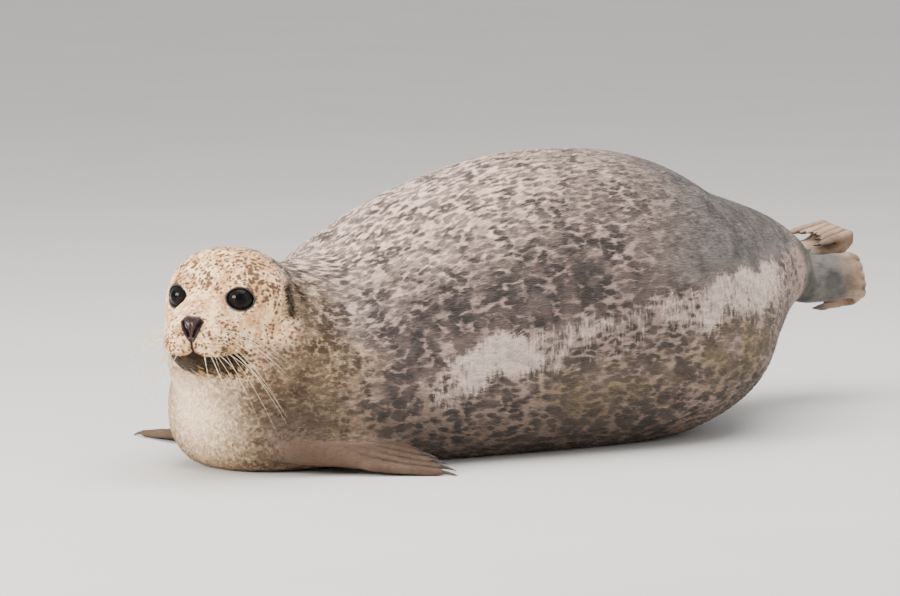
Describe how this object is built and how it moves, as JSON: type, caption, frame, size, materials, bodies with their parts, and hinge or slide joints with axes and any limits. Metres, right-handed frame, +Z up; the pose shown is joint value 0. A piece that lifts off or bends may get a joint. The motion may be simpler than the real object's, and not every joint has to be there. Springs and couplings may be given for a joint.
{
  "type": "harbour seal model",
  "caption": "Life-size still model of an adult harbour seal lying on its belly, head raised and turned, with curled hind flippers held off the ground.",
  "frame": {"origin": "on the floor, under the middle of the bounding box", "axes": "+Y from the head end towards the tail, +X towards the seal's left side, +Z up"},
  "size_m": [0.62, 1.3504, 0.3942],
  "materials": {
    "pale_fur": "short damp fur, cream with fine brown speckle",
    "spotted_fur": "short flat wet fur, buff with dense dark spots",
    "flipper_skin": "thinly furred skin",
    "claw_horn": "dark horn, satin",
    "eye_black": "wet gloss, near black"
  },
  "bodies": {
    "root": {"head": "pale_fur", "neck": "spotted_fur", "trunk": "spotted_fur", "hindquarters": "spotted_fur", "tail": "spotted_fur", "fore_flipper_left": "flipper_skin", "fore_flipper_right": "flipper_skin", "hind_flipper_left": "flipper_skin", "hind_flipper_right": "flipper_skin", "eye_left": "eye_black", "eye_right": "eye_black", "fore_flipper_left_claw_1": "claw_horn", "fore_flipper_left_claw_2": "claw_horn", "fore_flipper_left_claw_3": "claw_horn", "fore_flipper_left_claw_4": "claw_horn", "fore_flipper_left_claw_5": "claw_horn", "fore_flipper_right_claw_1": "claw_horn", "fore_flipper_right_claw_2": "claw_horn", "fore_flipper_right_claw_3": "claw_horn", "fore_flipper_right_claw_4": "claw_horn", "fore_flipper_right_claw_5": "claw_horn"}
  },
  "joints": []
}
